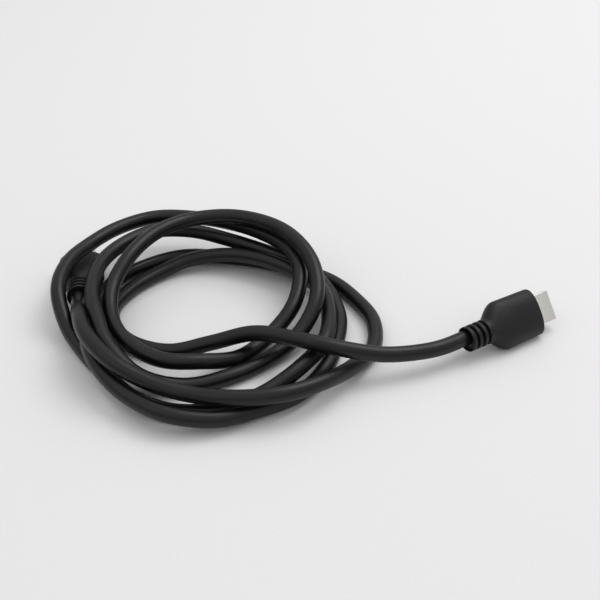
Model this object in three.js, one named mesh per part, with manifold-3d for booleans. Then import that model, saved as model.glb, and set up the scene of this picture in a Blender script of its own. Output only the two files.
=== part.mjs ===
// An audio and video lead: a round black cord lying in loose turns, with a moulded plug at each end.
// Millimetres, +Z up. The floor is z = 0, and the origin is under the middle of the whole lead.

import * as THREE from 'three';
import { mergeVertices } from 'three/addons/utils/BufferGeometryUtils.js';
import Module from 'manifold-3d';

const wasm = await Module();
wasm.setup();

// Cord
const CORD_DIAMETER = 7;
const CORD_SIDES = 10;
const CORD_STEPS = 96;
const STRAIGHT_EXIT = 10;

// Overmould: a grip that carries the plug, with its ribbed strain relief moulded on
const GRIP_WIDTH = 22;
const GRIP_THICKNESS = 12;
const GRIP_LENGTH = 29.75;
const GRIP_ROUNDNESS = 2.35;
const COLLAR_LENGTH = 2.35;
const SHOULDER_LENGTH = 8;
const RIM_ROUND = 1;
const RELIEF_DIAMETER = 11.4;
const RELIEF_END_RING = 1.75;
const RELIEF_RIB = 1.9;
const RELIEF_RIBS = 2;
const GROOVE_WIDTH = 1.4;
const GROOVE_DEPTH = 1.2;
const RELIEF_EDGE = 0.2;
const RELIEF_ROOT = 1.5;
const BORE_CLEARANCE = 1.7;
const BORE_DEPTH = 1.4;

// Metal shell
const SHELL_WIDTH = 13.9;
const SHELL_HEIGHT = 4.45;
const SHELL_WALL = 0.35;
const SHELL_REACH = 9.5;
const SHELL_SEAT = 3;
const CHAMFER_ACROSS = 1.5;
const CHAMFER_UP = 1.8;

// Contact carrier inside the shell
const CARRIER_SETBACK = 0.6;
const SLOT_WIDTH = 10;
const SLOT_HEIGHT = 1.9;
const SLOT_DEPTH = 7.5;
const SLOT_RISE = 0.15;

// Contacts on both faces of the slot
const CONTACT_PITCH = 1;
const CONTACT_WIDTH = 0.45;
const CONTACT_THICKNESS = 0.2;
const CONTACT_LENGTH = 6;
const UPPER_CONTACTS = 10;
const LOWER_CONTACTS = 9;
const CONTACT_GAP = 0.1;

// The gap that touching pieces keep
const SEAT_GAP = 0.3;

// Where the plugs lie: the middle of the strain relief's end, the way the plug points,
// and how far to one side of the relief's mouth the cord leans
const NEAR_PLUG = { x: 70.3, y: -22.1, heading: 32.6, dip: 0, roll: 51, lean: 1.3 };
const FAR_PLUG = { x: -104.3, y: 8.2, heading: 99.2, dip: 8, roll: 0, lean: 0 };

// How finely the round pieces are drawn
const GRIP_SIDES = 36;
const RELIEF_SIDES = 28;
const SHOULDER_STEPS = 5;

const RELIEF_LENGTH = RELIEF_END_RING + RELIEF_RIBS * RELIEF_RIB + (RELIEF_RIBS + 1) * GROOVE_WIDTH;
const PLUG_LENGTH = RELIEF_LENGTH + GRIP_LENGTH;

// Brings the middle of the whole lead over the origin, and its lowest edge to the floor
const CENTRING = { x: 3.2, y: -0.25, z: 0.07 };

// The cord's route from the near plug to the far one, one list for each stretch
const LEAD_IN = [
  [52, -30.5, 10], [33.5, -35.5, 12], [14, -37, 16.5], [-4.5, -31.5, 17.3],
  [-22.5, -24.5, 15], [-41, -22, 8], [-60, -23, 3.9],
];
const FIRST_TURN = [
  [-76.5, -17, 3.6], [-86.5, -5, 3.5], [-89.5, 10, 3.5], [-84, 25, 3.5], [-73, 38, 4],
  [-57, 47.5, 6.5], [-39, 47.5, 9.5], [-21.5, 40.5, 11.5], [-5, 29.5, 11.2],
  [7.5, 14.5, 11], [10.5, -4.5, 10.5], [8, -24, 10.3], [-2.5, -40, 8.5],
  [-17.5, -52, 4.5], [-34.5, -61, 3.5], [-54, -62.5, 3.5], [-71.5, -54, 3.5], [-84.5, -40, 3.6],
];
const SECOND_TURN = [
  [-96, -25.5, 3.8], [-107.2, -9.5, 8.4], [-113.4, 8, 16.2], [-112, 26.5, 18.4], [-104.5, 45, 17.5],
  [-92.5, 60.5, 17.5], [-75.5, 70.5, 17.5], [-56, 70, 17.5], [-37.5, 63.5, 18],
  [-21.5, 52.5, 19], [-8.5, 38, 19.3], [-2.5, 19, 18], [-5.5, 1, 12], [-16, -14, 6],
  [-29, -28.5, 5], [-45, -37.5, 9.8], [-61, -38, 11], [-75.5, -28, 11.2],
];
const THIRD_TURN = [
  [-86, -11, 12], [-88.5, 8, 16.5], [-82, 26, 23], [-71, 43, 25.5], [-56, 54.5, 25.5],
  [-37, 57, 26], [-19, 49, 27], [-5.5, 35, 27], [3.5, 18, 23], [5, -0.5, 16.5], [-3, -15.5, 8],
  [-17, -29, 3.95], [-33.5, -40.5, 3.6], [-52, -46.5, 3.8], [-70, -45, 8], [-84.5, -32.3, 14.5],
];
const FOURTH_TURN = [
  [-92.5, -13.5, 18], [-97, 5, 18.5], [-96.5, 25, 18.5], [-89, 43, 18], [-75, 56.5, 17.5],
  [-56.5, 61, 15], [-37.5, 56.5, 12.5], [-19.5, 48.5, 11], [-3, 38, 10.5], [9.5, 23.5, 6.5],
  [15.5, 4.5, 3.8], [14, -15, 3.5], [8.5, -34, 3.5], [-2.5, -51, 3.5],
  [-18.5, -62, 4.5], [-36, -70, 6], [-55.5, -70, 8.5], [-72.5, -60, 9.5], [-85.5, -46, 11.5],
];
const FIFTH_TURN = [
  [-94, -28, 12], [-96.5, -9, 9.3], [-96, 10, 7.5], [-91.5, 28, 6.5], [-80, 45, 4],
  [-62, 55.5, 3.5], [-43, 55, 3.5], [-23.5, 51, 3.5], [-5, 43.5, 3.5], [12, 33.5, 3.5],
  [23.5, 18, 3.5], [31, 0, 3.7], [30, -19.5, 3.5], [20, -36.5, 6],
  [8, -52, 11], [-7.5, -62, 13], [-26, -64.5, 12.5], [-45, -61.5, 11.5], [-64, -56.5, 14],
  [-80.5, -48, 18.5],
];
const LEAD_OUT = [
  [-93, -33, 20.5], [-99.5, -15, 18],
];

const jacket = new THREE.MeshStandardMaterial({ color: 0x26272a, roughness: 0.45, metalness: 0 });
const overmould = new THREE.MeshStandardMaterial({ color: 0x2f3032, roughness: 0.5, metalness: 0 });
const nickel = new THREE.MeshStandardMaterial({ color: 0xd4d4d0, roughness: 0.28, metalness: 1 });
const carrierPlastic = new THREE.MeshStandardMaterial({ color: 0x141415, roughness: 0.4, metalness: 0 });
const gold = new THREE.MeshStandardMaterial({ color: 0xd9b25a, roughness: 0.25, metalness: 1 });

function toSolid(geometry) {
  const bare = geometry.index ? geometry.toNonIndexed() : geometry.clone();
  bare.deleteAttribute('normal');
  bare.deleteAttribute('uv');
  const merged = mergeVertices(bare);
  const vertProperties = new Float32Array(merged.attributes.position.array);
  const triVerts = new Uint32Array(merged.index.array);
  return new wasm.Manifold(new wasm.Mesh({ numProp: 3, vertProperties, triVerts }));
}

function toGeometry(solid) {
  const mesh = solid.getMesh();
  const geometry = new THREE.BufferGeometry();
  geometry.setAttribute('position', new THREE.BufferAttribute(mesh.vertProperties, 3));
  geometry.setIndex(new THREE.BufferAttribute(mesh.triVerts, 1));
  geometry.computeVertexNormals();
  return geometry;
}

function named(name, geometry, material) {
  const mesh = new THREE.Mesh(geometry, material);
  mesh.name = name;
  return mesh;
}

// A plug is drawn with +X along it from the strain relief's end, Y across it and Z through it.

// The grip's outline at a place along it: half its width and half its thickness
function gripStations() {
  const neck = RELIEF_DIAMETER / 2;
  const halfWidth = GRIP_WIDTH / 2;
  const halfThickness = GRIP_THICKNESS / 2;
  const stations = [{ x: RELIEF_LENGTH, halfWidth: neck, halfThickness: neck, roundness: 2 }];
  for (let i = 0; i <= SHOULDER_STEPS; i += 1) {
    const along = i / SHOULDER_STEPS;
    const out = Math.sin(along * Math.PI / 2);
    stations.push({
      x: RELIEF_LENGTH + COLLAR_LENGTH + SHOULDER_LENGTH * along,
      halfWidth: neck + (halfWidth - neck) * out,
      halfThickness: neck + (halfThickness - neck) * out,
      roundness: 2 + (GRIP_ROUNDNESS - 2) * out,
    });
  }
  for (const turn of [0, Math.PI / 4, Math.PI / 2]) {
    const back = RIM_ROUND * (1 - Math.cos(turn));
    stations.push({
      x: PLUG_LENGTH - RIM_ROUND + RIM_ROUND * Math.sin(turn),
      halfWidth: halfWidth - back,
      halfThickness: halfThickness - back,
      roundness: GRIP_ROUNDNESS,
    });
  }
  return stations;
}

// A place on a rounded outline, between an ellipse at roundness 2 and a rectangle
function onOutline(station, angle) {
  const power = 2 / station.roundness;
  const across = Math.sign(Math.cos(angle)) * Math.abs(Math.cos(angle)) ** power;
  const through = Math.sign(Math.sin(angle)) * Math.abs(Math.sin(angle)) ** power;
  return { y: station.halfWidth * across, z: station.halfThickness * through };
}

function gripGeometry() {
  const stations = gripStations();
  const rings = stations.length - 1;
  const geometry = new THREE.CylinderGeometry(1, 1, 1, GRIP_SIDES, rings);
  const position = geometry.attributes.position;
  for (let i = 0; i < position.count; i += 1) {
    const station = stations[Math.round((0.5 - position.getY(i)) * rings)];
    const reach = Math.hypot(position.getX(i), position.getZ(i));
    const angle = Math.atan2(position.getZ(i), position.getX(i));
    const place = onOutline(station, angle);
    position.setXYZ(i, station.x, reach * place.y, reach * place.z);
  }
  return geometry;
}

// The strain relief, turned about the plug's axis, with the bore that the cord enters
function reliefGeometry() {
  const outer = RELIEF_DIAMETER / 2;
  const floor = outer - GROOVE_DEPTH;
  const bore = CORD_DIAMETER / 2 + BORE_CLEARANCE;
  const profile = [
    [0, BORE_DEPTH], [bore, BORE_DEPTH], [bore, 0],
    [outer - RELIEF_EDGE, 0], [outer, RELIEF_EDGE], [outer, RELIEF_END_RING],
  ];
  let along = RELIEF_END_RING;
  for (let i = 0; i <= RELIEF_RIBS; i += 1) {
    profile.push([floor, along]);
    along += GROOVE_WIDTH;
    profile.push([floor, along]);
    if (i < RELIEF_RIBS) {
      profile.push([outer, along]);
      along += RELIEF_RIB;
      profile.push([outer, along]);
    }
  }
  profile.push([floor, along + RELIEF_ROOT], [0, along + RELIEF_ROOT]);
  const points = profile.map(([radius, height]) => new THREE.Vector2(radius, height));
  const geometry = new THREE.LatheGeometry(points, RELIEF_SIDES);
  geometry.rotateZ(-Math.PI / 2);
  return geometry;
}

// The shell's outline, drawn in by an amount all round: two of its corners are cut off
function shellOutline(inset) {
  const halfWidth = SHELL_WIDTH / 2;
  const halfHeight = SHELL_HEIGHT / 2;
  const slope = Math.hypot(CHAMFER_ACROSS, CHAMFER_UP);
  const side = halfWidth - inset;
  const top = halfHeight - inset;
  const cornerUp = -halfHeight + CHAMFER_UP + inset * (slope - CHAMFER_UP) / CHAMFER_ACROSS;
  const cornerAcross = halfWidth - CHAMFER_ACROSS - inset * (slope - CHAMFER_ACROSS) / CHAMFER_UP;
  return [
    [side, top], [-side, top], [-side, cornerUp],
    [-cornerAcross, -top], [cornerAcross, -top], [side, cornerUp],
  ].map(([y, z]) => new THREE.Vector2(y, z));
}

// An outline in Y and Z drawn out along X between two places
function prism(outline, hole, from, to) {
  const shape = new THREE.Shape(outline);
  if (hole) {
    shape.holes.push(new THREE.Path(hole));
  }
  const geometry = new THREE.ExtrudeGeometry(shape, { depth: to - from, bevelEnabled: false });
  const axes = new THREE.Matrix4().makeBasis(
    new THREE.Vector3(0, 1, 0),
    new THREE.Vector3(0, 0, 1),
    new THREE.Vector3(1, 0, 0),
  );
  geometry.applyMatrix4(axes);
  geometry.translate(from, 0, 0);
  return geometry;
}

function rectangle(width, height, rise) {
  const corners = [[1, 1], [-1, 1], [-1, -1], [1, -1]];
  return corners.map(([y, z]) => new THREE.Vector2(y * width / 2, rise + z * height / 2));
}

function overmouldGeometry() {
  const pocket = prism(
    shellOutline(-SEAT_GAP), null,
    PLUG_LENGTH - SHELL_SEAT - SEAT_GAP, PLUG_LENGTH + SHELL_SEAT,
  );
  const body = toSolid(gripGeometry()).add(toSolid(reliefGeometry()));
  return toGeometry(body.subtract(toSolid(pocket)));
}

function shellGeometry() {
  const from = PLUG_LENGTH - SHELL_SEAT;
  return prism(shellOutline(0), shellOutline(SHELL_WALL), from, PLUG_LENGTH + SHELL_REACH);
}

const CARRIER_FRONT = PLUG_LENGTH + SHELL_REACH - CARRIER_SETBACK;

function carrierGeometry() {
  const block = prism(
    shellOutline(SHELL_WALL + SEAT_GAP), null,
    PLUG_LENGTH - SHELL_SEAT, CARRIER_FRONT,
  );
  const slot = prism(
    rectangle(SLOT_WIDTH, SLOT_HEIGHT, SLOT_RISE), null,
    CARRIER_FRONT - SLOT_DEPTH, CARRIER_FRONT + SLOT_DEPTH,
  );
  return toGeometry(toSolid(block).subtract(toSolid(slot)));
}

function contactRow(plugName, rowName, count, face) {
  const row = [];
  const z = SLOT_RISE + face * (SLOT_HEIGHT / 2 - CONTACT_GAP - CONTACT_THICKNESS / 2);
  const x = CARRIER_FRONT - SLOT_DEPTH + CONTACT_GAP + CONTACT_LENGTH / 2;
  for (let i = 0; i < count; i += 1) {
    const strip = new THREE.BoxGeometry(CONTACT_LENGTH, CONTACT_WIDTH, CONTACT_THICKNESS);
    const contact = named(`${plugName}_${rowName}_contact_${i + 1}`, strip, gold);
    contact.position.set(x, (i - (count - 1) / 2) * CONTACT_PITCH, z);
    row.push(contact);
  }
  return row;
}

// How far the grip reaches below its own axis when it is rolled
function gripDrop(rollRadians) {
  const station = { halfWidth: GRIP_WIDTH / 2, halfThickness: GRIP_THICKNESS / 2, roundness: GRIP_ROUNDNESS };
  let drop = 0;
  for (let i = 0; i < GRIP_SIDES; i += 1) {
    const place = onOutline(station, (i / GRIP_SIDES) * 2 * Math.PI);
    drop = Math.max(drop, place.y * Math.sin(rollRadians) + place.z * Math.cos(rollRadians));
  }
  return drop;
}

// Turns a plug to the way it lies, with its grip touching the floor
function placement(plug) {
  const dip = THREE.MathUtils.degToRad(plug.dip);
  const roll = THREE.MathUtils.degToRad(plug.roll);
  const heading = THREE.MathUtils.degToRad(plug.heading);
  const height = (PLUG_LENGTH - RIM_ROUND) * Math.sin(dip) + gripDrop(roll) * Math.cos(dip);
  const turn = new THREE.Euler(roll, dip, heading, 'ZYX');
  return { turn, at: new THREE.Vector3(plug.x, plug.y, height) };
}

function plugGroup(name, plug) {
  const group = new THREE.Group();
  group.add(named(`${name}_overmould`, overmouldGeometry(), overmould));
  group.add(named(`${name}_shell`, shellGeometry(), nickel));
  group.add(named(`${name}_contact_carrier`, carrierGeometry(), carrierPlastic));
  group.add(...contactRow(name, 'upper', UPPER_CONTACTS, 1));
  group.add(...contactRow(name, 'lower', LOWER_CONTACTS, -1));
  const { turn, at } = placement(plug);
  group.rotation.copy(turn);
  group.position.copy(at);
  return group;
}

// The cord's end in the plug's bore, and the end of its straight stretch outside
function cordEnd(plug) {
  const { turn, at } = placement(plug);
  const axis = new THREE.Vector3(1, 0, 0).applyEuler(turn);
  const side = new THREE.Vector3(0, 0, 1).cross(axis).normalize();
  const mouth = at.clone().addScaledVector(side, plug.lean);
  const inside = mouth.clone().addScaledVector(axis, BORE_DEPTH - SEAT_GAP);
  const outside = mouth.clone().addScaledVector(axis, -STRAIGHT_EXIT);
  return [inside, outside];
}

function cordGeometry() {
  const turns = [...LEAD_IN, ...FIRST_TURN, ...SECOND_TURN, ...THIRD_TURN, ...FOURTH_TURN, ...FIFTH_TURN];
  const middle = [...turns, ...LEAD_OUT].map(([x, y, z]) => new THREE.Vector3(x, y, z));
  const points = [...cordEnd(NEAR_PLUG), ...middle, ...cordEnd(FAR_PLUG).reverse()];
  const route = new THREE.CatmullRomCurve3(points, false, 'centripetal');
  route.arcLengthDivisions = points.length * 20;
  const section = new THREE.Shape();
  for (let i = 0; i < CORD_SIDES; i += 1) {
    const angle = (i / CORD_SIDES) * 2 * Math.PI;
    const x = Math.cos(angle) * CORD_DIAMETER / 2;
    const y = Math.sin(angle) * CORD_DIAMETER / 2;
    if (i === 0) {
      section.moveTo(x, y);
    } else {
      section.lineTo(x, y);
    }
  }
  section.closePath();
  return new THREE.ExtrudeGeometry(section, { steps: CORD_STEPS, extrudePath: route });
}

const lead = new THREE.Group();
lead.position.set(CENTRING.x, CENTRING.y, CENTRING.z);
lead.add(named('cord', cordGeometry(), jacket));
lead.add(plugGroup('near_plug', NEAR_PLUG));
lead.add(plugGroup('far_plug', FAR_PLUG));

export default lead;
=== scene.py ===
import math

import bpy
from mathutils import Euler, Matrix, Vector


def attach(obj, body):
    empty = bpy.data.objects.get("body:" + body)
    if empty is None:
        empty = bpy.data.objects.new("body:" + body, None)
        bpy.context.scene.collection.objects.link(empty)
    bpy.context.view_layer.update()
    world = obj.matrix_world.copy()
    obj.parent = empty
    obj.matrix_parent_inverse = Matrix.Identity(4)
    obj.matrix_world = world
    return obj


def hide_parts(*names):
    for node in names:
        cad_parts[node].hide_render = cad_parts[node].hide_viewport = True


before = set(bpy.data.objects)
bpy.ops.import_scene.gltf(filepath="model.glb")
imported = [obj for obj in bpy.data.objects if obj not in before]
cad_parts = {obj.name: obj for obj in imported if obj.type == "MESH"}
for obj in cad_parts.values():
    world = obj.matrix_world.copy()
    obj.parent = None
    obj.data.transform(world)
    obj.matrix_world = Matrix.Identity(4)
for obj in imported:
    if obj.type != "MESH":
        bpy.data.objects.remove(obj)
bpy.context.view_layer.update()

# An audio and video lead: a round black cord in loose turns, with a moulded plug at each end.
# Metres, +Z up. It lies on the floor, at the height 0.

# The cord
CORD_DIAMETER = 0.007
STRAIGHT_EXIT = 0.010
CORD_RINGS = 1300
CORD_SIDES = 24
CURVE_STEPS = 24

# The overmould, along a plug from the strain relief's end
GRIP_LENGTH = 0.02975
GRIP_THICKNESS = 0.012
GRIP_WIDTH_BACK = 0.0224
GRIP_WIDTH_FRONT = 0.0217
GRIP_ROUNDNESS = 2.35
COLLAR_LENGTH = 0.00235
SHOULDER_LENGTH = 0.008
RIM_ROUND = 0.0009
RELIEF_DIAMETER = 0.0114
RELIEF_END_RING = 0.00175
RELIEF_RIB = 0.0016
RELIEF_RIBS = 2
GROOVE_WIDTH = 0.0016
GROOVE_DEPTH = 0.0017
BORE_CLEARANCE = 0.0017
BORE_DEPTH = 0.0014
BORE_TAPER = 0.0005
BORE_FLOOR = 0.0005
BORE_ROUND = 0.0004
MOUTH_SLANT = 0.0001
MOUTH_ROUND = 0.00015
LIP_ROUND = 0.0004
RIB_ROUND = 0.0002
GROOVE_SLANT = 0.00005
OVERMOULD_SIDES = 120
SHOULDER_STEPS = 14
GRIP_STEPS = 8
RIM_STEPS = 6
RELIEF_LENGTH = RELIEF_END_RING + RELIEF_RIBS * RELIEF_RIB + (RELIEF_RIBS + 1) * GROOVE_WIDTH
PLUG_LENGTH = RELIEF_LENGTH + GRIP_LENGTH

# The slot in the overmould's front that the shell stands in, and the steps from the rim to it
SEAT_CLEARANCE = 0.00012
SEAT_ROUND = 0.0005
SEAT_EDGE = 0.0001
SEAT_DEPTH = 0.0022
FACE_STEPS = (0.04, 0.35, 0.75, 0.97)

# A corner's rounding times this is how far its flats are held flat
FLAT_HOLD = 1.5

# The metal shell
SHELL_WIDTH = 0.0139
SHELL_HEIGHT = 0.00445
SHELL_WALL = 0.00033
SHELL_REACH = 0.0095
CHAMFER_ACROSS = 0.0015
CHAMFER_UP = 0.0018
SHELL_SEATED = 0.0021
SHELL_FOLD = 0.00045
SHELL_TIGHTEST_FOLD = 0.00012
SHELL_LEAD = 0.0003
SHELL_LEAD_END = 0.00012

# Where the plugs lie, and the way each one points, in degrees
NEAR_PLUG = {"x": 0.0703, "y": -0.0221, "heading": 32.6, "dip": 0, "roll": 51, "lean": 0.0013}
FAR_PLUG = {"x": -0.1043, "y": 0.0082, "heading": 99.2, "dip": 8, "roll": 0, "lean": 0}

# The plain grip that a plug's height on the floor is worked out from
PLAIN_GRIP_WIDTH = 0.022
PLAIN_RIM_ROUND = 0.001
PLAIN_GRIP_SIDES = 36

# What brings the whole lead over the origin
CENTRING = Vector((0.0032, -0.00025, 0.00007))

# The studio: half the floor's side, and the brightness at the horizon and overhead
FLOOR_REACH = 12
SKY_LOW = 0.34
SKY_HIGH = 0.98

# The cord's route from the near plug to the far one, one list for each stretch
LEAD_IN = [
    (0.052, -0.0305, 0.01), (0.0335, -0.0355, 0.012), (0.014, -0.037, 0.0165),
    (-0.0045, -0.0315, 0.0173), (-0.0225, -0.0245, 0.015), (-0.041, -0.022, 0.008),
    (-0.06, -0.023, 0.0039),
]
FIRST_TURN = [
    (-0.0765, -0.017, 0.0036), (-0.0865, -0.005, 0.0035), (-0.0895, 0.01, 0.0035),
    (-0.084, 0.025, 0.0035), (-0.073, 0.038, 0.004), (-0.057, 0.0475, 0.0065), (-0.039, 0.0475, 0.0095),
    (-0.0215, 0.0405, 0.0115), (-0.005, 0.0295, 0.0112), (0.0075, 0.0145, 0.011),
    (0.0105, -0.0045, 0.0105), (0.008, -0.024, 0.0103), (-0.0025, -0.04, 0.0085),
    (-0.0175, -0.052, 0.0045), (-0.0345, -0.061, 0.0035), (-0.054, -0.0625, 0.0035),
    (-0.0715, -0.054, 0.0035), (-0.0845, -0.04, 0.0036),
]
SECOND_TURN = [
    (-0.096, -0.0255, 0.0038), (-0.1072, -0.0095, 0.0084), (-0.1134, 0.008, 0.0162),
    (-0.112, 0.0265, 0.0184), (-0.1045, 0.045, 0.0175), (-0.0925, 0.0605, 0.0175),
    (-0.0755, 0.0705, 0.0175), (-0.056, 0.07, 0.0175), (-0.0375, 0.0635, 0.018),
    (-0.0215, 0.0525, 0.019), (-0.0085, 0.038, 0.0193), (-0.0025, 0.019, 0.018),
    (-0.0055, 0.001, 0.012), (-0.016, -0.014, 0.006), (-0.029, -0.0285, 0.005),
    (-0.045, -0.0375, 0.0098), (-0.061, -0.038, 0.011), (-0.0755, -0.028, 0.0112),
]
THIRD_TURN = [
    (-0.086, -0.011, 0.012), (-0.0885, 0.008, 0.0165), (-0.082, 0.026, 0.023), (-0.071, 0.043, 0.0255),
    (-0.056, 0.0545, 0.0255), (-0.037, 0.057, 0.026), (-0.019, 0.049, 0.027), (-0.0055, 0.035, 0.027),
    (0.0035, 0.018, 0.023), (0.005, -0.0005, 0.0165), (-0.003, -0.0155, 0.008),
    (-0.017, -0.029, 0.00395), (-0.0335, -0.0405, 0.0036), (-0.052, -0.0465, 0.0038),
    (-0.07, -0.045, 0.008), (-0.0845, -0.0323, 0.0145),
]
FOURTH_TURN = [
    (-0.0925, -0.0135, 0.018), (-0.097, 0.005, 0.0185), (-0.0965, 0.025, 0.0185),
    (-0.089, 0.043, 0.018), (-0.075, 0.0565, 0.0175), (-0.0565, 0.061, 0.015),
    (-0.0375, 0.0565, 0.0125), (-0.0195, 0.0485, 0.011), (-0.003, 0.038, 0.0105),
    (0.0095, 0.0235, 0.0065), (0.0155, 0.0045, 0.0038), (0.014, -0.015, 0.0035),
    (0.0085, -0.034, 0.0035), (-0.0025, -0.051, 0.0035), (-0.0185, -0.062, 0.0045),
    (-0.036, -0.07, 0.006), (-0.0555, -0.07, 0.0085), (-0.0725, -0.06, 0.0095),
    (-0.0855, -0.046, 0.0115),
]
FIFTH_TURN = [
    (-0.094, -0.028, 0.012), (-0.0965, -0.009, 0.0093), (-0.096, 0.01, 0.0075),
    (-0.0915, 0.028, 0.0065), (-0.08, 0.045, 0.004), (-0.062, 0.0555, 0.0035), (-0.043, 0.055, 0.0035),
    (-0.0235, 0.051, 0.0035), (-0.005, 0.0435, 0.0035), (0.012, 0.0335, 0.0035),
    (0.0235, 0.018, 0.0035), (0.031, 0.0, 0.0037), (0.03, -0.0195, 0.0035), (0.02, -0.0365, 0.006),
    (0.008, -0.052, 0.011), (-0.0075, -0.062, 0.013), (-0.026, -0.0645, 0.0125),
    (-0.045, -0.0615, 0.0115), (-0.064, -0.0565, 0.014), (-0.0805, -0.048, 0.0185),
]
LEAD_OUT = [
    (-0.093, -0.033, 0.0205), (-0.0995, -0.015, 0.018),
]


def plug_matrix(plug):
    """The turn and place of a plug, whose plain grip touches the floor."""
    dip, roll, heading = (math.radians(plug[k]) for k in ("dip", "roll", "heading"))
    drop = 0
    for i in range(PLAIN_GRIP_SIDES):
        share = i / PLAIN_GRIP_SIDES
        y, z = outline_point(PLAIN_GRIP_WIDTH / 2, GRIP_THICKNESS / 2, GRIP_ROUNDNESS, share)
        drop = max(drop, y * math.sin(roll) + z * math.cos(roll))
    height = (PLUG_LENGTH - PLAIN_RIM_ROUND) * math.sin(dip) + drop * math.cos(dip)
    turn = Euler((roll, dip, heading), "XYZ").to_matrix().to_4x4()
    return Matrix.Translation(Vector((plug["x"], plug["y"], height)) + CENTRING) @ turn


def outline_point(half_width, half_thickness, roundness, share):
    """A place on a rounded outline, between an ellipse at roundness 2 and a rectangle."""
    angle = share * 2 * math.pi
    across, through = math.cos(angle), math.sin(angle)
    power = 2 / roundness
    y = math.copysign(abs(across) ** power, across) * half_width
    z = math.copysign(abs(through) ** power, through) * half_thickness
    return y, z


def cord_route():
    """The points that the cord goes through, from inside one plug's bore to inside the other's."""
    turns = LEAD_IN + FIRST_TURN + SECOND_TURN + THIRD_TURN + FOURTH_TURN + FIFTH_TURN + LEAD_OUT
    middle = [Vector(p) + CENTRING for p in turns]
    return [*cord_end(NEAR_PLUG), *middle, *reversed(cord_end(FAR_PLUG))]


def cord_end(plug):
    """The cord's end in a plug's bore, and the end of its straight stretch outside."""
    lies = plug_matrix(plug)
    axis = (lies.to_3x3() @ Vector((1, 0, 0))).normalized()
    side = Vector((0, 0, 1)).cross(axis).normalized()
    mouth = lies.translation + side * plug["lean"]
    return [mouth + axis * BORE_DEPTH, mouth - axis * STRAIGHT_EXIT]


def smooth_curve(points, per_span):
    """A centripetal curve through the points."""
    line = []
    for i in range(len(points) - 1):
        p1, p2 = points[i], points[i + 1]
        p0 = points[i - 1] if i else 2 * p1 - p2
        p3 = points[i + 2] if i + 2 < len(points) else 2 * p2 - p1
        gaps = [max(math.sqrt((b - a).length), 1e-6) for a, b in ((p0, p1), (p1, p2), (p2, p3))]
        before, span, after = gaps
        start = ((p1 - p0) / before - (p2 - p0) / (before + span) + (p2 - p1) / span) * span
        end = ((p2 - p1) / span - (p3 - p1) / (span + after) + (p3 - p2) / after) * span
        for k in range(per_span):
            t = k / per_span
            cubic = (2 * p1 - 2 * p2 + start + end) * t ** 3
            square = (-3 * p1 + 3 * p2 - 2 * start - end) * t ** 2
            line.append(cubic + square + start * t + p1)
    line.append(points[-1].copy())
    return line


def even_steps(line, count):
    """The same line at even steps, and its length."""
    reach = [0.0]
    for a, b in zip(line, line[1:]):
        reach.append(reach[-1] + (b - a).length)
    even, at = [], 0
    for i in range(count + 1):
        want = reach[-1] * i / count
        while at < len(line) - 2 and reach[at + 1] < want:
            at += 1
        share = (want - reach[at]) / (reach[at + 1] - reach[at])
        even.append(line[at].lerp(line[at + 1], min(1, share)))
    return even, reach[-1]


def make_object(name, vertices, faces, sharp=False):
    """An object of the given faces, shaded smooth unless it is sharp."""
    mesh = bpy.data.meshes.new(name)
    mesh.from_pydata(vertices, [], faces)
    mesh.validate()
    mesh.update()
    if not sharp:
        mesh.shade_smooth()
    made = bpy.data.objects.new(name, mesh)
    bpy.context.scene.collection.objects.link(made)
    return made


def ring_distances(rings, spans):
    """How far each ring is along a skin, and how far each point is around its ring."""
    count = len(rings[0])
    along, around = [0.0], []
    for r in range(spans):
        ring, after = rings[r], rings[(r + 1) % len(rings)]
        along.append(along[-1] + sum((b - a).length for a, b in zip(ring, after)) / count)
    for ring in rings:
        reach = [0.0]
        for k in range(count):
            reach.append(reach[-1] + (ring[(k + 1) % count] - ring[k]).length)
        around.append(reach)
    return along, around


def loft(name, rings, looped=False):
    """A skin over rings of equal count, looped or closed at both ends.

    Its UV gives the metres along it and around it.
    """
    count = len(rings[0])
    vertices = [v for ring in rings for v in ring]
    spans = len(rings) if looped else len(rings) - 1
    along, around = ring_distances(rings, spans)
    faces, spots = [], []
    for r in range(spans):
        s = (r + 1) % len(rings)
        for k in range(count):
            n = (k + 1) % count
            faces.append((r * count + k, r * count + n, s * count + n, s * count + k))
            spots += [(along[r], around[r][k]), (along[r], around[r][k + 1])]
            spots += [(along[r + 1], around[s][k + 1]), (along[r + 1], around[s][k])]
    if not looped:
        faces.append(tuple(range(count - 1, -1, -1)))
        faces.append(tuple((len(rings) - 1) * count + k for k in range(count)))
    made = make_object(name, vertices, faces)
    run = made.data.uv_layers.new(name="run")
    for loop, spot in zip(run.data, spots):
        loop.uv = spot
    return made


def make_cord(line):
    """The jacket as a tube along its line."""
    side = Vector((0, 0, 1))
    rings = []
    radius = CORD_DIAMETER / 2
    for i, place in enumerate(line):
        ahead = (line[min(i + 1, len(line) - 1)] - line[max(i - 1, 0)]).normalized()
        side = (side - ahead * side.dot(ahead)).normalized()
        up = ahead.cross(side)
        ring = []
        for k in range(CORD_SIDES):
            angle = 2 * math.pi * k / CORD_SIDES
            ring.append(place + (side * math.cos(angle) + up * math.sin(angle)) * radius)
        rings.append(ring)
    return loft("cord_jacket", rings)


def rounded_profile(corners, steps=4):
    """A profile of (along, radius, rounding) corners, each one rounded off between flats."""
    made = []
    for i, (x, r, rounding) in enumerate(corners):
        here = Vector((x, r))
        if rounding == 0 or i in (0, len(corners) - 1):
            made.append(here)
            continue
        back = (Vector(corners[i - 1][:2]) - here).normalized()
        on = (Vector(corners[i + 1][:2]) - here).normalized()
        made += rounded_corner(here, back, on, rounding, steps)
    return made


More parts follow.
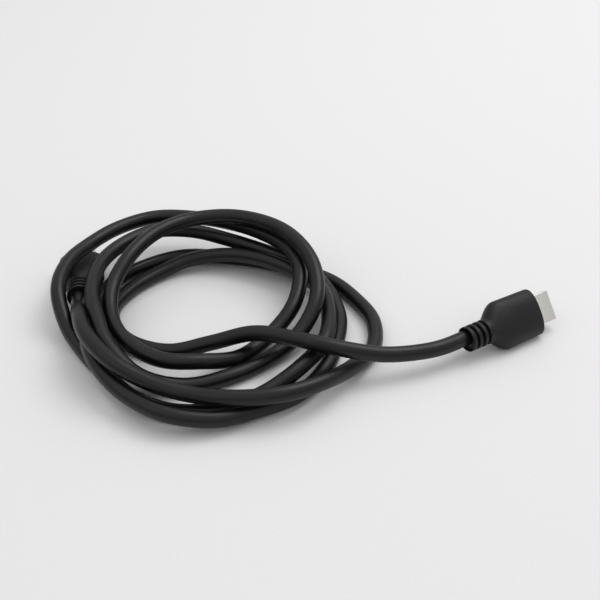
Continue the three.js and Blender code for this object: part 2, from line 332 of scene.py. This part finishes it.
def rounded_corner(here, back, on, rounding, steps):
    """A rounded corner between two flats, with one more point on each flat."""
    start, end = here + back * rounding, here + on * rounding
    made = [here + back * rounding * FLAT_HOLD]
    for k in range(steps + 1):
        t = k / steps
        made.append(start * (1 - t) ** 2 + here * 2 * t * (1 - t) + end * t ** 2)
    made.append(here + on * rounding * FLAT_HOLD)
    return made


def relief_profile():
    """From the floor of the bore, over the lip and the ribs, to the collar."""
    outer = RELIEF_DIAMETER / 2
    floor = outer - GROOVE_DEPTH
    bore = CORD_DIAMETER / 2 + BORE_CLEARANCE
    corners = [
        (BORE_DEPTH, BORE_FLOOR, 0), (BORE_DEPTH, bore - BORE_TAPER, BORE_ROUND),
        (MOUTH_SLANT, bore, MOUTH_ROUND), (0, outer, LIP_ROUND),
        (RELIEF_END_RING, outer, RIB_ROUND),
    ]
    along = RELIEF_END_RING
    for i in range(RELIEF_RIBS + 1):
        corners.append((along + GROOVE_SLANT, floor, RIB_ROUND))
        along += GROOVE_WIDTH
        corners.append((along - GROOVE_SLANT, floor, RIB_ROUND))
        corners.append((along, outer, RIB_ROUND))
        if i < RELIEF_RIBS:
            along += RELIEF_RIB
            corners.append((along, outer, RIB_ROUND))
    corners.append((along + COLLAR_LENGTH, outer, 0))
    return rounded_profile(corners)


def shell_corners(inset):
    """The shell's outline, drawn in all round: two of its corners are cut off."""
    side, top = SHELL_WIDTH / 2 - inset, SHELL_HEIGHT / 2 - inset
    slope = math.hypot(CHAMFER_ACROSS, CHAMFER_UP)
    up = -SHELL_HEIGHT / 2 + CHAMFER_UP + inset * (slope - CHAMFER_UP) / CHAMFER_ACROSS
    across = SHELL_WIDTH / 2 - CHAMFER_ACROSS - inset * (slope - CHAMFER_ACROSS) / CHAMFER_UP
    return [(side, top), (-side, top), (-side, up), (-across, -top), (across, -top), (side, up)]


def shell_outline(inset, bend, per_corner=5):
    """The shell's outline with its folds rounded."""
    corners = [Vector(c) for c in shell_corners(inset)]
    made = []
    for i, here in enumerate(corners):
        back = (corners[i - 1] - here).normalized()
        on = (corners[(i + 1) % len(corners)] - here).normalized()
        made += rounded_corner(here, back, on, bend, per_corner)
    return made


def ray_to_outline(outline, angle):
    """Where a ray from the middle of an outline meets it."""
    way = Vector((math.cos(angle), math.sin(angle)))
    for a, b in zip(outline, outline[1:] + outline[:1]):
        edge = b - a
        cross = way.x * edge.y - way.y * edge.x
        if abs(cross) < 1e-12:
            continue
        reach = (a.x * edge.y - a.y * edge.x) / cross
        share = (a.x * way.y - a.y * way.x) / cross
        if reach > 0 and -1e-6 <= share <= 1 + 1e-6:
            return way * reach
    return way * SHELL_HEIGHT / 2


def grip_sections():
    """(along, half width, half thickness, roundness) from the collar to the rim."""
    neck = RELIEF_DIAMETER / 2
    start = RELIEF_LENGTH + COLLAR_LENGTH
    back, front, thick = GRIP_WIDTH_BACK / 2, GRIP_WIDTH_FRONT / 2, GRIP_THICKNESS / 2
    sections = []
    for i in range(1, SHOULDER_STEPS + 1):
        share = i / SHOULDER_STEPS
        out = math.sin(share * math.pi / 2)
        roundness = 2 + (GRIP_ROUNDNESS - 2) * out
        half_width = neck + (back - neck) * out
        half_thickness = neck + (thick - neck) * out
        sections.append((start + SHOULDER_LENGTH * share, half_width, half_thickness, roundness))
    first = start + SHOULDER_LENGTH
    rim = PLUG_LENGTH - RIM_ROUND
    for i in range(1, GRIP_STEPS + 1):
        share = i / GRIP_STEPS
        half_width = back + (front - back) * share
        sections.append((first + (rim - first) * share, half_width, thick, GRIP_ROUNDNESS))
    for i in range(1, RIM_STEPS + 1):
        turn = i / RIM_STEPS * math.pi / 2
        drawn_in = RIM_ROUND * (1 - math.cos(turn))
        along = rim + RIM_ROUND * math.sin(turn)
        sections.append((along, front - drawn_in, thick - drawn_in, GRIP_ROUNDNESS))
    return sections


def make_overmould(name, plug):
    """The grip and its ribbed strain relief, with the seat that the shell stands in."""
    count = OVERMOULD_SIDES
    rings = []
    for along, radius in relief_profile():
        ring = [outline_point(radius, radius, 2, k / count) for k in range(count)]
        rings.append([Vector((along, y, z)) for y, z in ring])
    for along, half_width, half_thickness, roundness in grip_sections():
        ring = [outline_point(half_width, half_thickness, roundness, k / count) for k in range(count)]
        rings.append([Vector((along, y, z)) for y, z in ring])
    seat = shell_outline(-SEAT_CLEARANCE, SEAT_ROUND)
    rim = [Vector((v.y, v.z)) for v in rings[-1]]
    edge = [ray_to_outline(seat, math.atan2(v.y, v.x)) for v in rim]
    for share in FACE_STEPS:
        ring = [outer.lerp(inner, share) for outer, inner in zip(rim, edge)]
        rings.append([Vector((PLUG_LENGTH, p.x, p.y)) for p in ring])
    for depth in (SEAT_EDGE, SEAT_DEPTH):
        rings.append([Vector((PLUG_LENGTH - depth, p.x, p.y)) for p in edge])
    piece = loft(name, rings)
    piece.data.transform(plug_matrix(plug))
    return piece


def make_shell(name, plug):
    """The folded metal shell, a tube of thin sheet with a turned front edge."""
    back, front = PLUG_LENGTH - SHELL_SEATED, PLUG_LENGTH + SHELL_REACH
    path = [
        (back, 0), (back + 0.003, 0), (front - SHELL_LEAD, 0),
        (front - SHELL_LEAD_END, 0.00005), (front, 0.00014),
        (front, SHELL_WALL - 0.00006), (front - 0.00015, SHELL_WALL), (front - 0.004, SHELL_WALL),
        (back, SHELL_WALL),
    ]
    rings = []
    for along, inset in path:
        outline = shell_outline(inset, max(SHELL_FOLD - inset, SHELL_TIGHTEST_FOLD))
        rings.append([Vector((along, p.x, p.y)) for p in outline])
    piece = loft(name, rings, looped=True)
    piece.data.transform(plug_matrix(plug))
    return piece


class Finish:
    """A material being put together from nodes."""

    def __init__(self, name):
        self.material = bpy.data.materials.new(name)
        self.material.use_nodes = True
        self.nodes = self.material.node_tree.nodes
        self.links = self.material.node_tree.links
        self.shader = self.nodes["Principled BSDF"]

    def node(self, kind, **values):
        made = self.nodes.new(kind)
        for key, value in values.items():
            if key in made.inputs:
                made.inputs[key].default_value = value
            else:
                setattr(made, key, value)
        return made

    def place(self, source="Object", scale=(1, 1, 1)):
        coordinates = self.node("ShaderNodeTexCoord")
        mapping = self.node("ShaderNodeMapping")
        mapping.inputs["Scale"].default_value = scale
        self.links.new(coordinates.outputs[source], mapping.inputs["Vector"])
        return mapping.outputs["Vector"]

    def noise(self, where, scale, detail=3, roughness=0.5):
        made = self.node("ShaderNodeTexNoise", Scale=scale, Detail=detail, Roughness=roughness)
        self.links.new(where, made.inputs["Vector"])
        return made.outputs["Fac"]

    def between(self, factor, low, high, start=0.0, end=1.0):
        made = self.node("ShaderNodeMapRange")
        made.inputs["From Min"].default_value = start
        made.inputs["From Max"].default_value = end
        made.inputs["To Min"].default_value = low
        made.inputs["To Max"].default_value = high
        self.links.new(factor, made.inputs["Value"])
        return made.outputs["Result"]

    def ramp(self, factor, stops):
        made = self.node("ShaderNodeValToRGB")
        elements = made.color_ramp.elements
        while len(elements) < len(stops):
            elements.new(0.5)
        for element, (position, colour) in zip(elements, stops):
            element.position = position
            element.color = (*colour, 1)
        self.links.new(factor, made.inputs["Fac"])
        return made.outputs["Color"]

    def sum(self, first, second, share=1.0):
        made = self.node("ShaderNodeMath", operation="MULTIPLY_ADD")
        self.links.new(second, made.inputs[0])
        made.inputs[1].default_value = share
        self.links.new(first, made.inputs[2])
        return made.outputs["Value"]

    def bump(self, height, strength, distance):
        made = self.node("ShaderNodeBump", Strength=strength, Distance=distance)
        self.links.new(height, made.inputs["Height"])
        self.links.new(made.outputs["Normal"], self.shader.inputs["Normal"])

    def set(self, socket, value):
        if isinstance(value, bpy.types.NodeSocket):
            self.links.new(value, self.shader.inputs[socket])
        else:
            self.shader.inputs[socket].default_value = value


def jacket_finish():
    """Satin black PVC with a faint lay of the cores beneath, handling marks and dust."""
    f = Finish("jacket_pvc")
    along = f.place("UV")
    solid = f.place("Object")
    lay = f.node("ShaderNodeTexWave", wave_type="BANDS", bands_direction="DIAGONAL")
    lay.inputs["Scale"].default_value = 14
    lay.inputs["Distortion"].default_value = 1.5
    f.links.new(along, lay.inputs["Vector"])
    mottle = f.noise(solid, 90, 4)
    grain = f.noise(solid, 3200, 2)
    scuffs = f.noise(f.place("UV", (60, 900, 1)), 1, 5, 0.7)
    dust = f.between(f.noise(solid, 2300, 2, 0.6), 0, 0.6, 0.7, 0.8)
    tone = f.sum(f.sum(mottle, f.between(scuffs, 0, 0.5, 0.56, 0.78)), dust)
    f.set("Base Color", f.ramp(tone, [(0.3, (0.0019, 0.0021, 0.0023)), (0.62, (0.0034, 0.0037, 0.0040)),
                                      (1.0, (0.026, 0.026, 0.026))]))
    f.set("Roughness", f.between(f.sum(mottle, scuffs, 0.7), 0.26, 0.46, 0.55, 1.1))
    f.set("Specular IOR Level", 0.36)
    f.bump(f.sum(f.sum(f.noise(solid, 600, 2), grain, 0.5), lay.outputs["Fac"], 0.9), 0.5, 0.0001)
    return f.material


def overmould_finish():
    """Grey-black moulded PVC with the fine spark-eroded texture of its mould."""
    f = Finish("overmould_pvc")
    local = f.place("Object")
    texture = f.noise(local, 2600, 2, 0.6)
    flow = f.noise(f.place("UV", (60, 160, 1)), 1, 3)
    marks = f.noise(f.place("UV", (300, 1900, 1)), 1, 4, 0.75)
    tone = f.sum(f.sum(flow, texture, 0.25), f.between(marks, 0, 0.45, 0.58, 0.82))
    f.set("Base Color", f.ramp(tone, [(0.45, (0.0028, 0.0028, 0.0032)), (0.75, (0.0068, 0.0068, 0.0075)),
                                      (1.0, (0.028, 0.028, 0.029))]))
    f.set("Roughness", f.between(f.sum(flow, texture, 0.5), 0.42, 0.6, 0.5, 1.0))
    f.set("Specular IOR Level", 0.36)
    f.bump(texture, 0.55, 0.0001)
    return f.material


def shell_finish():
    """Nickel plate with the fine lines that rolling leaves along the sheet."""
    f = Finish("shell_nickel")
    lines = f.noise(f.place("UV", (200, 6500, 1)), 1, 3, 0.6)
    bloom = f.noise(f.place("Object"), 350, 3)
    f.set("Base Color", f.ramp(bloom, [(0.3, (0.81, 0.80, 0.77)), (0.7, (0.85, 0.84, 0.815))]))
    f.set("Metallic", 1.0)
    f.set("Roughness", f.between(f.sum(lines, bloom, 0.3), 0.26, 0.36, 0.3, 1.0))
    f.bump(lines, 0.05, 0.00001)
    return f.material


def carrier_finish():
    """Black engineering plastic with a faint glass-fibre grain."""
    f = Finish("carrier_plastic")
    grain = f.noise(f.place("Object"), 2600, 3)
    f.set("Base Color", f.ramp(grain, [(0.3, (0.006, 0.006, 0.006)), (0.75, (0.014, 0.014, 0.014))]))
    f.set("Roughness", f.between(grain, 0.28, 0.45))
    f.bump(grain, 0.15, 0.00003)
    return f.material


def contact_finish():
    """Thin gold over nickel, a little worn."""
    f = Finish("contact_gold")
    wear = f.noise(f.place("Object"), 1800, 3)
    f.set("Base Color", f.ramp(wear, [(0.3, (0.90, 0.66, 0.28)), (0.75, (0.78, 0.60, 0.36))]))
    f.set("Metallic", 1.0)
    f.set("Roughness", f.between(wear, 0.18, 0.34))
    return f.material


def floor_finish():
    """White paper with a faint fibre."""
    f = Finish("studio_paper")
    fibre = f.noise(f.place("Object"), 900, 3)
    f.set("Base Color", f.ramp(fibre, [(0.3, (0.80, 0.80, 0.80)), (0.7, (0.82, 0.82, 0.82))]))
    f.set("Roughness", 0.9)
    f.set("Specular IOR Level", 0.1)
    return f.material


def add_area(name, place, target, size, power):
    """A square light that looks at its target."""
    light = bpy.data.lights.new(name, "AREA")
    light.shape = "SQUARE"
    light.size = size
    light.energy = power
    made = bpy.data.objects.new(name, light)
    made.location = place
    made.rotation_euler = (Vector(target) - Vector(place)).to_track_quat("-Z", "Y").to_euler()
    bpy.context.scene.collection.objects.link(made)


# The camera, placed where the photograph was taken from
camera_data = bpy.data.cameras.new("camera")
camera_data.sensor_width = 36
camera_data.lens = 60.72
camera_data.clip_start = 0.01
camera = bpy.data.objects.new("camera", camera_data)
camera.location = Vector((-0.0025, -0.375, 0.278)) + CENTRING
camera.rotation_euler = (math.radians(55), 0, 0)
bpy.context.scene.collection.objects.link(camera)
bpy.context.scene.camera = camera

# The cord and the plugs
line, cord_length = even_steps(smooth_curve(cord_route(), CURVE_STEPS), CORD_RINGS)
cord = make_cord(line)
cord.data.materials.append(jacket_finish())
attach(cord, "root")
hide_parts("cord")

overmould_pvc, shell_nickel = overmould_finish(), shell_finish()
on_the_cord = []
for name, plug in (("near_plug", NEAR_PLUG), ("far_plug", FAR_PLUG)):
    overmould = make_overmould(name + "_grip", plug)
    overmould.data.materials.append(overmould_pvc)
    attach(overmould, "root")
    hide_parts(name + "_overmould")
    shell = make_shell(name + "_tip", plug)
    shell.data.materials.append(shell_nickel)
    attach(shell, "root")
    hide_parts(name + "_shell")
    on_the_cord += [overmould, shell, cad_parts[name + "_contact_carrier"]]

carrier_plastic, contact_gold = carrier_finish(), contact_finish()
for name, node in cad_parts.items():
    if "contact_carrier" in name:
        node.data.materials.clear()
        node.data.materials.append(carrier_plastic)
    elif "_contact_" in name:
        node.data.materials.clear()
        node.data.materials.append(contact_gold)

# The floor and the light
corners = [(x * FLOOR_REACH, y * FLOOR_REACH, 0) for x, y in ((-1, -1), (1, -1), (1, 1), (-1, 1))]
floor = make_object("floor", corners, [(0, 1, 2, 3)], sharp=True)
floor.data.materials.append(floor_finish())

world = bpy.data.worlds.new("studio")
bpy.context.scene.world = world
world.use_nodes = True
sky = world.node_tree.nodes
direction = sky.new("ShaderNodeTexCoord")
height = sky.new("ShaderNodeSeparateXYZ")
overhead = sky.new("ShaderNodeMapRange")
overhead.inputs["To Min"].default_value = SKY_LOW
overhead.inputs["To Max"].default_value = SKY_HIGH
world.node_tree.links.new(direction.outputs["Generated"], height.inputs["Vector"])
world.node_tree.links.new(height.outputs["Z"], overhead.inputs["Value"])
world.node_tree.links.new(overhead.outputs["Result"], sky["Background"].inputs["Strength"])
sky["Background"].inputs["Color"].default_value = (1, 1, 1, 1)
add_area("softbox", (0.5, 0.45, 1.15), (0, 0, 0), 0.8, 5.6)
add_area("fill", (-0.9, -0.4, 1.0), (0, 0, 0), 0.8, 0.5)
bpy.context.scene.view_settings.view_transform = "Standard"
